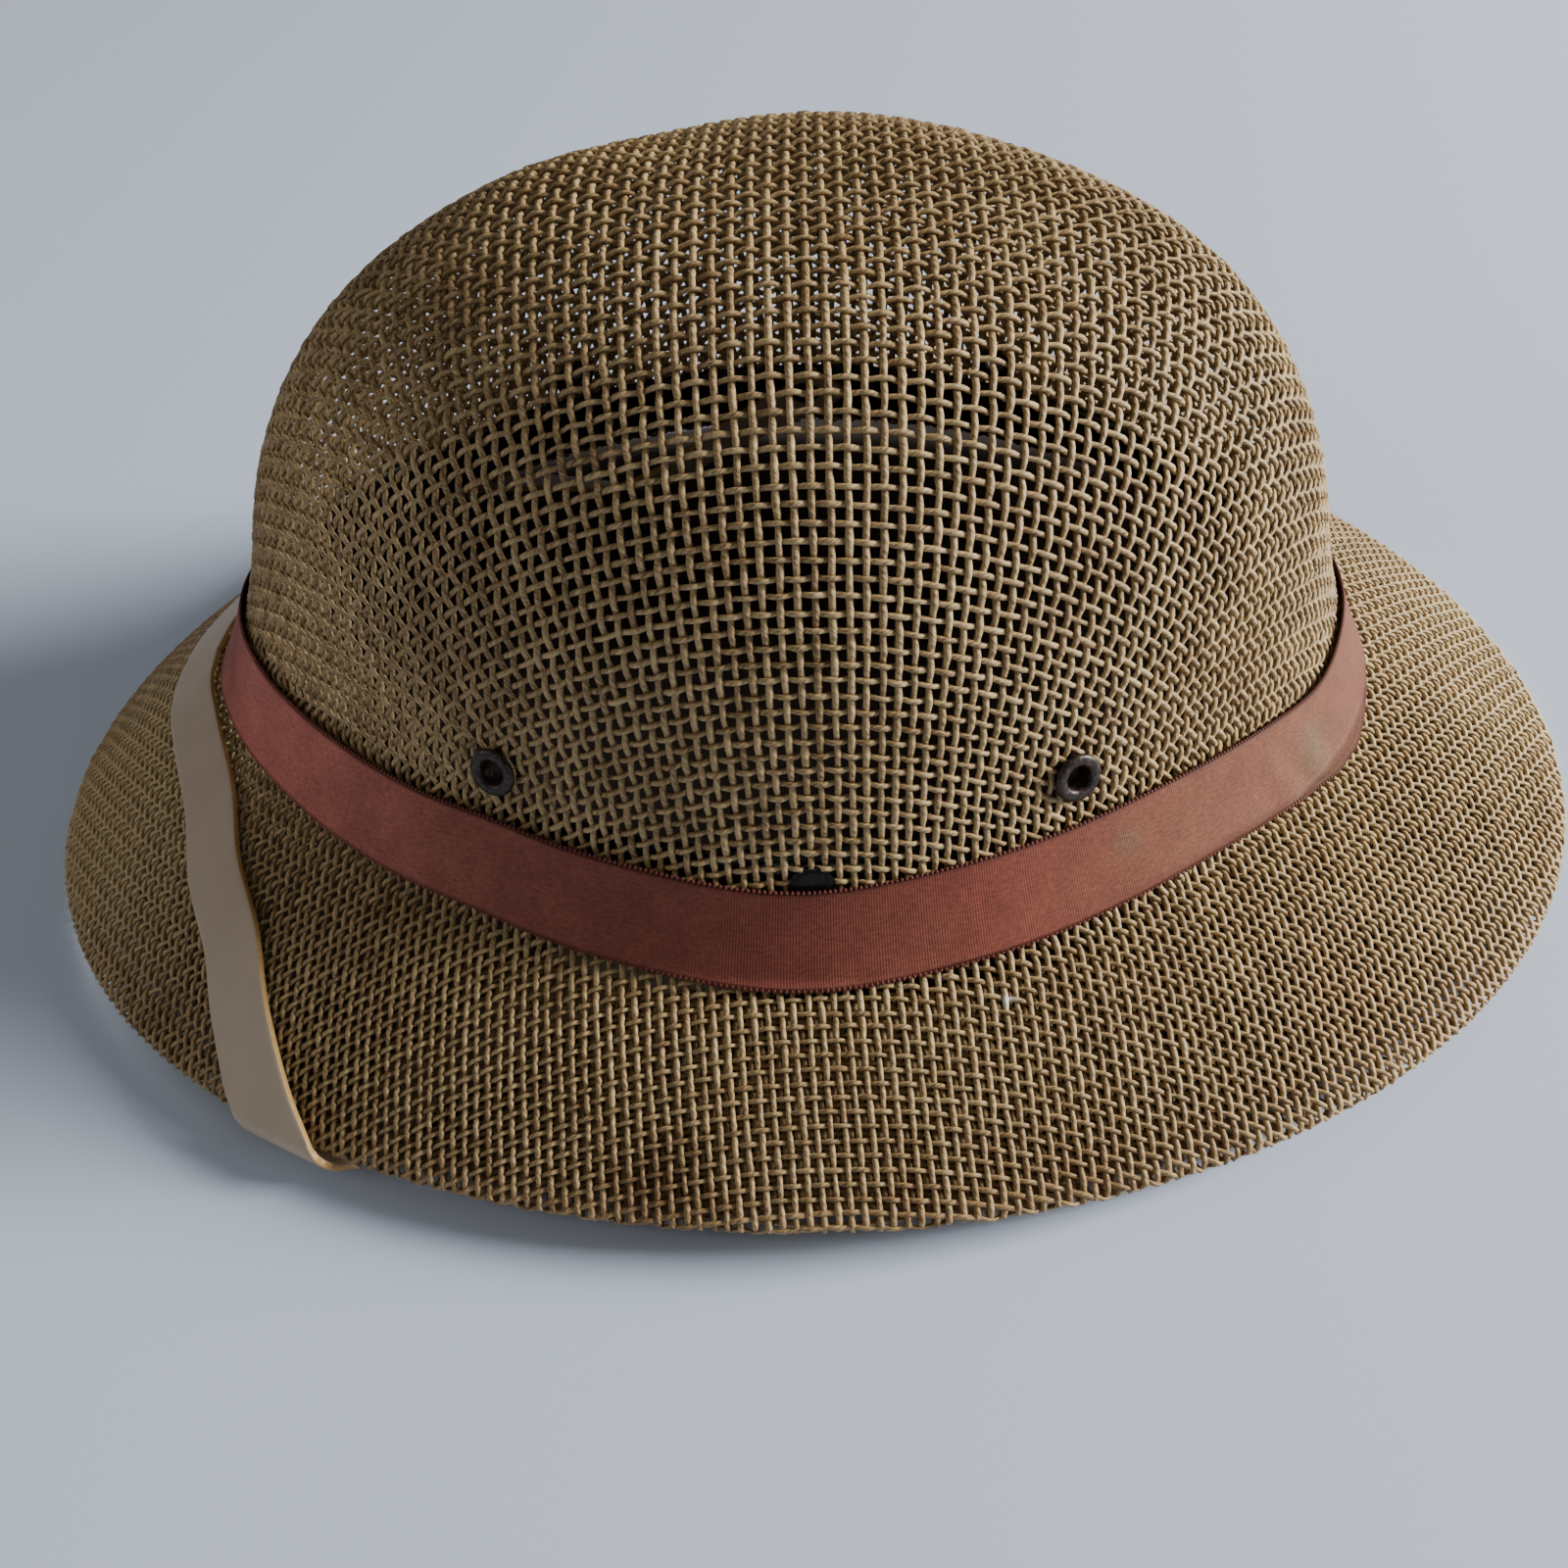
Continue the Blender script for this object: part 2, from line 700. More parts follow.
@dataclass
class StrawHood:
    """The woven straw: one layer over the crown, and two on the brim, folded round its rim.

    A pair of numbers is for the lengthways and the crossways strands. Places on the flat map are
    0 at the top, 1 at the root and 2 at the rim.
    """

    net: DrapedNet = field(default_factory=DrapedNet)
    crown_depth: float = 1.0
    brim_depth: float = 0.85
    under_depth: float = 2.2
    under_from: float = 1.06
    under_to: float = 1.98
    fold_radius: float = 0.85
    fold_drop: float = -0.2
    tuck: float = 0.14
    half_width: tuple[float, float] = (0.53, 0.64)
    half_height: tuple[float, float] = (0.49, 0.49)
    wave: tuple[float, float] = (0.5, 0.38)
    brim_share: float = 0.84
    near_share: float = 0.82
    far_swell: float = 0.35
    far_tight: float = 0.27
    rim_tight: float = 0.12
    wander: float = 0.09
    girth_spread: float = 0.08
    back_pale: float = 0.32
    hole_reach: float = 12.0
    press_blend: float = 2.5
    lowest: float = 0.5
    sides: int = 5
    under_sides: int = 3
    seed: int = 7

    def build(self, form: HelmetForm, holes: list[tuple[Array, Array, float]],
              pressed: list[tuple[Array, Array, float, float]]) -> None:
        """Weaves the hood.

        Args:
            form: the helmet's surface.
            holes: point, axis and radius of each place where strands are cut away.
            pressed: point, axis, radius and depth of each place where they are pressed in.
        """
        self.form, self.holes, self.pressed = form, holes, pressed
        self.random = np.random.default_rng(self.seed)
        net = self.net.solve(form)
        LOG.info("net %s", net.shape)
        straw = PaperStraw().material("twisted_paper_straw")
        shadow = PaperStraw(light="A68B5C", dark="64502F").material("twisted_paper_straw_underlay")
        names = {Family.LENGTHWAYS: ("straw_lengthways_left", "straw_lengthways_right"),
                 Family.CROSSWAYS: ("straw_crossways_front", "straw_crossways_back")}
        between = (net[1:, 1:] + net[:-1, 1:] + net[1:, :-1] + net[:-1, :-1]) / 4
        for family in Family:
            rows, cells = (grid if family is Family.LENGTHWAYS else grid.swapaxes(0, 1)
                           for grid in (net, between))
            half = rows.shape[1] // 2
            self.strands(names[family][0], rows[:, :half], family, 0, straw, False)
            self.strands(names[family][1], rows[:, half:], family, half, straw, False)
            self.strands(f"straw_underbrim_{family.name.lower()}", cells, family, 0, shadow, True)

    def lie(self, place: Array, under: bool) -> tuple[Array, Array]:
        """Lays cloth on the form. Past the rim it turns on a half circle and runs back below.

        Args:
            place: places on the flat map.
            under: whether it is the brim's under layer.

        Returns:
            The middle of the cloth at each place, and its normal.
        """
        form = self.form
        far = np.hypot(place[..., 0], place[..., 1])
        turn = np.arctan2(place[..., 1], place[..., 0])
        inside = place * (np.minimum(far, 1.999) / np.maximum(far, TINY))[..., None]
        point = form.outside(inside)
        normal = form.outside_normal(inside)
        if under:
            depth = np.full_like(far, self.under_depth)
        else:
            ease = smoothstep(far, 0.97, 1.1)
            depth = self.crown_depth + (self.brim_depth - self.crown_depth) * ease
        point = point - normal * depth[..., None]
        rim = form.rim(turn)
        slope = form.slope_normal(turn)
        out = unit(np.cross(form.rim(turn + TURN_STEP) - form.rim(turn - TURN_STEP), slope))
        reach = np.linalg.norm(rim - form.crown(turn, np.zeros_like(turn)), axis=-1)
        run = (far - 2) * reach
        angle = np.clip(run / self.fold_radius, 0, np.pi)[..., None]
        rest = np.maximum(run - np.pi * self.fold_radius, 0)[..., None]
        round_it = (rim + slope * (self.fold_drop + self.fold_radius * np.cos(angle))
                    + out * (self.fold_radius * np.sin(angle) - rest))
        turned = unit(slope * np.cos(angle) + out * np.sin(angle))
        past = ((far > 2) & (not under))[..., None]
        return np.where(past, round_it, point), np.where(past, turned, normal)

    @staticmethod
    def cuts(rows: Array) -> Array:
        """Cuts each strand a quarter of a cell before and after its crossings.

        A cubic Hermite curve joins the crossings, with half the span of the two neighbours as its
        slope.

        Args:
            rows: crossings, a strand to each second index.

        Returns:
            Map coordinates of the cuts.
        """
        before, after = rows[:-1], rows[1:]
        slope = np.concatenate([rows[1:2] - rows[:1], (rows[2:] - rows[:-2]) / 2,
                                rows[-1:] - rows[-2:-1]])
        places = []
        for t in (0.25, 0.75):
            a, b = 2 * t ** 3 - 3 * t * t + 1, t ** 3 - 2 * t * t + t
            c, d = 3 * t * t - 2 * t ** 3, t ** 3 - t * t
            places.append(a * before + b * slope[:-1] + c * after + d * slope[1:])
        return np.stack(places, 1).reshape(-1, rows.shape[1], 2)

    def make_room(self, middle: Array, shown: Array) -> Array:
        """Cuts strands away at the holes and presses them in behind the rivets.

        Args:
            middle: middles of the cuts.
            shown: which cuts are kept, changed in place.

        Returns:
            The moved middles.
        """
        for point, axis, radius in self.holes:
            off, above = beside_axis(middle, point, axis)
            shown &= (off >= radius) | (above >= self.hole_reach)
        for point, axis, radius, depth in self.pressed:
            off, above = beside_axis(middle, point, axis)
            push = depth * (1 - smoothstep(off, radius, radius + self.press_blend))
            middle = middle - (push * (above < self.hole_reach))[..., None] * axis
        middle[..., 2] = np.maximum(middle[..., 2], self.lowest)
        return middle

    def strands(self, name: str, rows: Array, family: Family, first: int,
                material: bpy.types.Material, under: bool) -> None:
        """Makes one mesh of the strands that run down the first axis of rows.

        A strand lies flat over or under at each crossing and slopes between. Each cut is an
        ellipse across the strand, and the end cuts shrink to a point.

        Args:
            name: the piece's name.
            rows: crossings, a strand to each second index.
            family: which family the strands belong to.
            first: number of the first strand, so that halves keep the over and under order.
            material: the strands' finish.
            under: whether it is the brim's under layer.
        """
        place = self.cuts(rows)
        count, many = place.shape[:2]
        kind = family.value
        crossing = (np.arange(count) + 1) // 2
        strand = np.arange(many) + first
        sign = (1 - 2 * kind) * (1 - 2 * ((crossing[:, None] + strand[None]) % 2))
        noise = self.drift((count, many), 3)
        wander = self.drift((count, many), 9) * self.wander
        middle, normal = self.lie(place, under)
        side = unit(np.cross(normal, unit(np.gradient(middle, axis=0))))
        far = np.hypot(place[..., 0], place[..., 1])
        fine = 1 - (1 - self.brim_share) * smoothstep(far, 0.95, 1.25)
        flat = self.near_share + (1 - self.near_share) * smoothstep(middle[..., 1], -10, 35) * (far < 1)
        deep = flat + self.far_swell * smoothstep(middle[..., 1], 25, 55) * (far < 1)
        lift = sign * self.wave[kind] * (0.92 + 0.1 * self.drift((count, many), 1)) * fine * flat
        lift = lift * (1 - 0.5 * smoothstep(far, 1.9, 2.0))
        middle = middle + normal * lift[..., None] + side * wander[..., None]
        shown = (far > self.under_from) & (far < self.under_to) if under else far < 2 + self.tuck
        middle = self.make_room(middle, shown)
        along = unit(np.gradient(middle, axis=0))
        side = unit(np.cross(normal, along))
        up = np.cross(along, side)
        inner = np.zeros_like(shown)
        inner[1:-1] = shown[1:-1] & shown[2:] & shown[:-2]
        tight = (self.far_tight * smoothstep(middle[..., 1], 8, 45) * (far < 1.1)
                 + self.rim_tight * smoothstep(far, 1.9, 1.96))
        girth = inner * (1 + self.girth_spread * noise) * fine * (1 + tight)
        sides = self.under_sides if under else self.sides
        angle = -np.pi / 2 + 2 * np.pi * np.arange(sides) / sides
        wide = self.half_width[kind] * girth[..., None] * np.cos(angle)
        tall = self.half_height[kind] * (girth * deep)[..., None] * np.sin(angle)
        ring = middle[:, :, None] + side[:, :, None] * wide[..., None] + up[:, :, None] * tall[..., None]
        used, quads, uv = self.skin(middle, shown, inner, sides)
        own = self.random.normal(size=(1, many)) * 0.1
        tint = 0.55 + np.clip(own, -0.16, 0.16) + 0.12 * self.drift((count, many), 5)
        tint += self.back_pale * smoothstep(middle[..., 0], 60, 140) * (far > 1)
        stain = np.maximum(smoothstep(far, 1.55, 2.0), 0.6)
        piece = add_mesh(name, ring[used].reshape(-1, 3), quads, material, uv,
                         {"tint": np.repeat(tint[used], sides),
                          "stain": np.repeat(stain[used], sides)})
        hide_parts("straw_body")

    @staticmethod
    def skin(middle: Array, shown: Array, inner: Array, sides: int) -> tuple[Array, Array, Array]:
        """Joins the cuts that are shown into tubes.

        Args:
            middle: middles of the cuts.
            shown: which cuts are kept.
            inner: which of them have a shown cut on both sides.
            sides: sides of a strand's section.

        Returns:
            Which cuts are used, the faces, and their corners' UVs: length along the strand in
            millimetres, and share of a turn round it.
        """
        linked = shown[1:] & shown[:-1] & (inner[1:] | inner[:-1])
        used = np.zeros_like(shown)
        used[1:] |= linked
        used[:-1] |= linked
        number = np.cumsum(used.ravel()).reshape(used.shape) - 1
        low = number[:-1][linked][:, None] * sides
        high = number[1:][linked][:, None] * sides
        s = np.arange(sides)[None]
        s2 = (s + 1) % sides
        quads = np.stack([low + s, low + s2, high + s2, high + s], -1).reshape(-1, 4)
        steps = np.linalg.norm(np.diff(middle, axis=0), axis=-1)
        length = np.concatenate([np.zeros((1, middle.shape[1])), np.cumsum(steps, axis=0)])
        u0, u1 = length[:-1][linked][:, None] + 0 * s, length[1:][linked][:, None] + 0 * s
        v0 = np.broadcast_to(s / sides, u0.shape)
        v1 = v0 + 1 / sides
        uv = np.stack([np.stack([u0, v0], -1), np.stack([u0, v1], -1), np.stack([u1, v1], -1),
                       np.stack([u1, v0], -1)], -2).reshape(-1, 2)
        return used, quads, uv

    def drift(self, shape: tuple[int, int], width: int) -> Array:
        """Seeded noise of spread one, averaged along the strand.

        Args:
            shape: number of cuts and of strands.
            width: number of cuts that are averaged.

        Returns:
            A number for each cut.
        """
        raw = self.random.normal(size=(shape[0] + width - 1, shape[1]))
        total = np.cumsum(np.concatenate([np.zeros((1, shape[1])), raw]), axis=0)
        return (total[width:] - total[:-width]) / np.sqrt(width)


@dataclass(frozen=True)
class RibbedRibbon:
    """Rayon petersham: hat ribbon woven with fine upright ribs.

    The ribs shade it finely and keep it matt. Sun has faded it unevenly, and the selvedges stay
    darker.
    """

    faded: str = "744B3B"
    rose: str = "C07469"
    deep: str = "794238"
    selvedge: str = "3A1A19"
    soil: str = "6A6048"
    rib: float = 0.42
    rib_height: float = 0.04
    cloud_size: float = 16.7
    wear_size: float = 5.88

    def material(self, name: str) -> bpy.types.Material:
        """Builds the finish: the fade runs round the helmet, under cloudy stains and fine ribs.

        Args:
            name: the material's name.

        Returns:
            The material.
        """
        material, tree, shader = fresh_material(name, {"Roughness": 0.62, "Specular IOR Level": 0.14})
        coords = add_node(tree, "ShaderNodeTexCoord")
        fade, rose, edge, smudge = (
            add_node(tree, "ShaderNodeAttribute", attribute_name=key).outputs["Fac"]
            for key in ("fade", "rose", "selvedge", "smudge"))
        cloud = add_node(tree, "ShaderNodeTexNoise",
                         {"Vector": coords.outputs["Object"], "Scale": 1 / (self.cloud_size * MM),
                          "Detail": 6.0, "Roughness": 0.65})
        blot = add_node(tree, "ShaderNodeMapRange", {"Value": cloud.outputs["Fac"], "From Min": 0.3,
                                                     "From Max": 0.7, "To Min": -0.2, "To Max": 0.2})
        share = add_node(tree, "ShaderNodeMath", {0: fade, 1: blot.outputs[0]},
                         operation="ADD", use_clamp=True)
        pale = add_node(tree, "ShaderNodeMix", {"Factor": rose, 6: linear(self.faded),
                                                7: linear(self.rose)}, data_type="RGBA")
        soil = add_node(tree, "ShaderNodeMath", {0: smudge, 1: cloud.outputs["Fac"]},
                        operation="MULTIPLY")
        colour = add_node(tree, "ShaderNodeMix", {"Factor": share.outputs[0], 6: linear(self.deep),
                                                  7: pale.outputs[2]}, data_type="RGBA")
        for factor, tone in ((edge, self.selvedge), (soil.outputs[0], self.soil)):
            colour = add_node(tree, "ShaderNodeMix", {"Factor": factor, 6: colour.outputs[2],
                                                      7: linear(tone)}, data_type="RGBA")
        place = add_node(tree, "ShaderNodeSeparateXYZ", {0: coords.outputs["UV"]})
        rib = add_node(tree, "ShaderNodeMath", {0: place.outputs["X"], 1: 2 * np.pi / self.rib},
                       operation="MULTIPLY")
        wave = add_node(tree, "ShaderNodeMath", {0: rib.outputs[0]}, operation="SINE")
        shade = add_node(tree, "ShaderNodeMapRange", {"Value": wave.outputs[0], "From Min": -1.0,
                                                      "From Max": 1.0, "To Min": 0.88, "To Max": 1.06})
        thread_map = add_node(tree, "ShaderNodeMapping",
                              {"Vector": coords.outputs["UV"], "Scale": (0.9, 2.2, 1.0)})
        threads = add_node(tree, "ShaderNodeTexNoise",
                           {"Vector": thread_map.outputs[0], "Scale": 1.0, "Detail": 2.0})
        wear = add_node(tree, "ShaderNodeTexNoise",
                        {"Vector": coords.outputs["Object"], "Scale": 1 / (self.wear_size * MM),
                         "Detail": 7.0, "Roughness": 0.7})
        for noise, spread in ((threads, 0.22), (wear, 0.16)):
            grain = add_node(tree, "ShaderNodeMapRange",
                             {"Value": noise.outputs["Fac"], "From Min": 0.3, "From Max": 0.7,
                              "To Min": 1 - spread, "To Max": 1 + spread})
            shade = add_node(tree, "ShaderNodeMath", {0: shade.outputs[0], 1: grain.outputs[0]},
                             operation="MULTIPLY")
        shaded = add_node(tree, "ShaderNodeVectorMath",
                          {0: colour.outputs[2], "Scale": shade.outputs[0]}, operation="SCALE")
        tree.links.new(shaded.outputs[0], shader.inputs["Base Color"])
        bump = add_node(tree, "ShaderNodeBump", {"Height": wave.outputs[0], "Strength": 0.35,
                                                 "Distance": self.rib_height * MM})
        tree.links.new(bump.outputs[0], shader.inputs["Normal"])
        return material


@dataclass(frozen=True)
class Sag:
    """A place where the ribbon has slipped down: its turn and width in degrees, and its drop."""

    turn: float
    width: float
    drop: float


@dataclass
class HatRibbon:
    """The ribbon round the foot of the crown, with beaded selvedges and a few puckers."""

    gap: float = 0.3
    thickness: float = 0.6
    seat: float = 0.6
    rise: float = 17.3
    rows: int = 26
    columns: int = 600
    bead_pitch: float = 0.8
    bead: float = 0.26
    bead_sides: int = 4
    bead_dark: tuple[float, float] = (0.7, 0.97)
    cord_length: float = 640.0
    pucker: float = 325.0
    pucker_width: float = 9.0
    sags: tuple[Sag, ...] = (
        Sag(268, 11, 2.4), Sag(302, 13, -1.3), Sag(333, 12, 3.2), Sag(241, 6, -0.9))

    def build(self, form: HelmetForm) -> None:
        """Makes a band on a closed section: up the outside, over the edge and down the inside.

        Args:
            form: the helmet's surface.
        """
        turn = np.linspace(0, 2 * np.pi, self.columns, endpoint=False)
        up = np.linspace(0, 1, self.rows)
        down = up[::-4]
        share = np.concatenate([up, down])
        t, v = np.meshgrid(turn, share, indexing="ij")
        outer = np.broadcast_to(np.concatenate([np.ones(len(up)), np.zeros(len(down))]), t.shape)
        stand, slip = self.ease(t, v)
        rise = self.seat + (self.rise - self.seat) * v + slip
        points = self.against(form, t, rise, self.gap + stand + self.thickness * outer)
        material = RibbedRibbon().material("ribbed_rayon_ribbon")
        around = np.linspace(0, self.girth(form), self.columns + 1)
        height = np.concatenate([rise[0], rise[0][:1]])
        quads = grid_quads(self.columns, len(share), True)[:, ::-1]
        corner = grid_uv(around, height).reshape(-1, 4, 2)[:, ::-1, ::-1].reshape(-1, 2)
        fade, rose = self.fading(t)
        selvedge, smudge = self.soiling(t, v)
        piece = add_mesh("hat_ribbon_band", points.reshape(-1, 3), quads, material, corner,
                         {"fade": fade, "rose": rose, "selvedge": selvedge, "smudge": smudge})
        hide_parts("hat_ribbon")
        for edge in (1, 0):
            self.picot(form, material, edge)

    @staticmethod
    def against(form: HelmetForm, turn: Array, rise: Array, off: Array) -> Array:
        """Places points off the straw: up the crown for a positive rise, else down the brim.

        Args:
            form: the helmet's surface.
            turn: angle from the back.
            rise: height over the root.
            off: distance from the straw.

        Returns:
            The points.
        """
        up, down = np.maximum(rise, 0.0), np.minimum(rise, 0.0)
        root = np.zeros_like(turn)
        slope = form.rim(turn) - form.crown(turn, root)
        normal = unit(form.crown_normal(turn, np.maximum(up, 0.2))
                      + form.slope_normal(turn) * (0.6 * smoothstep(-rise, -1.5, 3.0))[..., None])
        return form.crown(turn, up) + unit(slope) * -down[..., None] + normal * off[..., None]

    def girth(self, form: HelmetForm) -> float:
        """Adds up the ribbon's length round the foot of the crown.

        Args:
            form: the helmet's surface.

        Returns:
            The length.
        """
        turn = np.linspace(0, 2 * np.pi, 721)
        ring = form.crown(turn, np.full_like(turn, self.rise / 2))
        return float(np.linalg.norm(np.diff(ring, axis=0), axis=-1).sum())

    def ease(self, turn: Array, share: Array) -> tuple[Array, Array]:
        """Slow sine waves, bell-shaped sags, and puckers by the back that fade upwards.

        Args:
            turn: angle from the back.
            share: share of the ribbon's height.

        Returns:
            Extra distance from the wall, and extra height.
        """
        waves = 0.12 * np.sin(7 * turn + 1) * np.sin(3 * turn) + 0.06 * np.sin(23 * turn)
        wall = 0.12 + waves * (0.4 + 0.6 * (1 - share))
        near = np.exp(-((np.degrees(turn) % 360 - self.pucker) / self.pucker_width) ** 2)
        fold = near * (1 - share) * (0.35 + 0.3 * np.sin(turn * 53 + 3 * share))
        slip = -0.5 * near * (1 - share)
        for sag in self.sags:
            away = (np.degrees(turn) - sag.turn + 180) % 360 - 180
            slip = slip - sag.drop * np.exp(-(away / sag.width) ** 2)
        return np.maximum(wall, 0) + np.maximum(fold, 0), slip

    def fading(self, turn: Array) -> tuple[Array, Array]:
        """Bells of fading on the left, a little in the middle and on the far side, and the back.

        Args:
            turn: angle from the back.

        Returns:
            Share of fading, and how rosy the faded cloth is.
        """
        degrees = np.degrees(turn) % 360
        left = 0.95 * np.exp(-((degrees - 214) / 29) ** 2)
        middle = 0.12 * np.exp(-((degrees - 262) / 20) ** 2)
        back = smoothstep(degrees, 280, 312) * (1 - smoothstep(degrees, 350, 372))
        far_side = 0.45 * np.exp(-((degrees - 90) / 50) ** 2)
        return np.clip(left + middle + back + far_side, 0, 1), np.exp(-((degrees - 205) / 40) ** 2)

    def soiling(self, turn: Array, share: Array) -> tuple[Array, Array]:
        """Dark selvedges, a soiled stretch of the lower one, and two smudges.

        Args:
            turn: angle from the back.
            share: share of the ribbon's height.

        Returns:
            Share of selvedge tone, and share of soil.
        """
        degrees = np.degrees(turn) % 360
        hem = 0.5 * np.exp(-((degrees - 322) / 22) ** 2) * (1 - smoothstep(share, 0.04, 0.13))
        selvedge = (smoothstep(share, 0.955, 0.98) * 0.8
                    + np.maximum((1 - smoothstep(share, 0.02, 0.04)) * 0.4, hem))
        smudge = (np.exp(-((degrees - 327) / 3.5) ** 2 - ((share - 0.45) / 0.3) ** 2) * 1.1
                  + np.exp(-((degrees - 300) / 1.6) ** 2 - ((share - 0.6) / 0.15) ** 2) * 0.9)
        return selvedge, smudge

    def picot(self, form: HelmetForm, material: bpy.types.Material, share: int) -> None:
        """Makes the picot edge: a thin cord along a selvedge, swollen once a stitch.

        Args:
            form: the helmet's surface.
            material: the ribbon's finish.
            share: 1 for the upper selvedge and 0 for the lower one.
        """
        count = int(self.girth(form) / self.bead_pitch) * 4
        turn = np.linspace(0, 2 * np.pi, count, endpoint=False)
        stand, slip = self.ease(turn, np.full_like(turn, share))
        rise = self.seat + (self.rise - self.seat) * share + slip + 0.12 * (2 * share - 1)
        centre = self.against(form, turn, rise, self.gap + stand + self.thickness * 0.6)
        along = unit(np.roll(centre, -1, 0) - np.roll(centre, 1, 0))
        out = unit(self.against(form, turn, rise, stand + 2) - centre)
        up = np.cross(out, along)
        high = np.arange(count) % 4 < 2
        swell = self.bead * (0.6 + 0.7 * high)[:, None]
        angle = 2 * np.pi * np.arange(self.bead_sides) / self.bead_sides
        ring = (centre[:, None] + out[:, None] * (swell * np.cos(angle))[..., None]
                + up[:, None] * (swell * 1.5 * np.sin(angle))[..., None])
        fade, rose = self.fading(turn)
        dark = self.bead_dark[share] * np.where(high, 0.45, 1)
        values = {"fade": fade, "rose": rose, "selvedge": dark}
        piece = add_mesh(("hat_ribbon_lower_picot", "hat_ribbon_upper_picot")[share],
                         ring.reshape(-1, 3), grid_quads(count, self.bead_sides, True), material,
                         grid_uv(np.linspace(0, self.cord_length, count + 1),
                                           np.linspace(0, 1, self.bead_sides + 1)),
                         {key: np.repeat(value, self.bead_sides) for key, value in values.items()})
        outward(piece.data)
        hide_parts("hat_ribbon")


@dataclass(frozen=True)
class StrapLeather:
    """Grey finished calf, split and cut: its face is glazed smooth and its edge left raw.

    The face shows faint cloudy scuffs and a fine grain, and the cut edge is fibrous and tan.
    """

    face: str = "C4B3A1"
    scuff: str = "AE9D8B"
    edge: str = "D2AE70"
    fibre: str = "A27C46"
    scuff_size: float = 11.1
    fibre_size: float = 1.11
    pore_size: float = 0.455

    def material(self, name: str) -> bpy.types.Material:
        """Builds the finish, with fine grain and faint scuffs on the face.

        Args:
            name: the material's name.

        Returns:
            The material.
        """
        material, tree, shader = fresh_material(name, {"Roughness": 0.5})
        place = add_node(tree, "ShaderNodeTexCoord").outputs["Object"]
        cut = add_node(tree, "ShaderNodeAttribute", attribute_name="cut_edge")
        scuff = add_node(tree, "ShaderNodeTexNoise",
                         {"Vector": place, "Scale": 1 / (self.scuff_size * MM), "Detail": 6.0,
                          "Roughness": 0.6})
        tone = add_node(tree, "ShaderNodeMix", {"Factor": scuff.outputs["Fac"],
                                                6: linear(self.scuff), 7: linear(self.face)},
                        data_type="RGBA")
        fibre = add_node(tree, "ShaderNodeTexNoise",
                         {"Vector": place, "Scale": 1 / (self.fibre_size * MM), "Detail": 2.0})
        tan = add_node(tree, "ShaderNodeMix", {"Factor": fibre.outputs["Fac"],
                                               6: linear(self.fibre), 7: linear(self.edge)},
                       data_type="RGBA")
        both = add_node(tree, "ShaderNodeMix", {"Factor": cut.outputs["Fac"], 6: tone.outputs[2],
                                                7: tan.outputs[2]}, data_type="RGBA")
        tree.links.new(both.outputs[2], shader.inputs["Base Color"])
        grain = add_node(tree, "ShaderNodeTexVoronoi",
                         {"Vector": place, "Scale": 1 / (self.pore_size * MM)})
        bump = add_node(tree, "ShaderNodeBump", {"Height": grain.outputs["Distance"],
                                                 "Strength": 0.12, "Distance": 0.03 * MM})
        tree.links.new(bump.outputs[0], shader.inputs["Normal"])
        return material


@dataclass(frozen=True)
class StrapCut:
    """Where the strap's middle lies on the brim: degrees from the front, reach and skew."""

    turn: float
    reach: float
    skew: float


@dataclass(frozen=True)
class TabCut:
    """Where a strap's end lies inside the crown: degrees, height and depth from its rivet."""

    turn: float
    rise: float
    depth: float


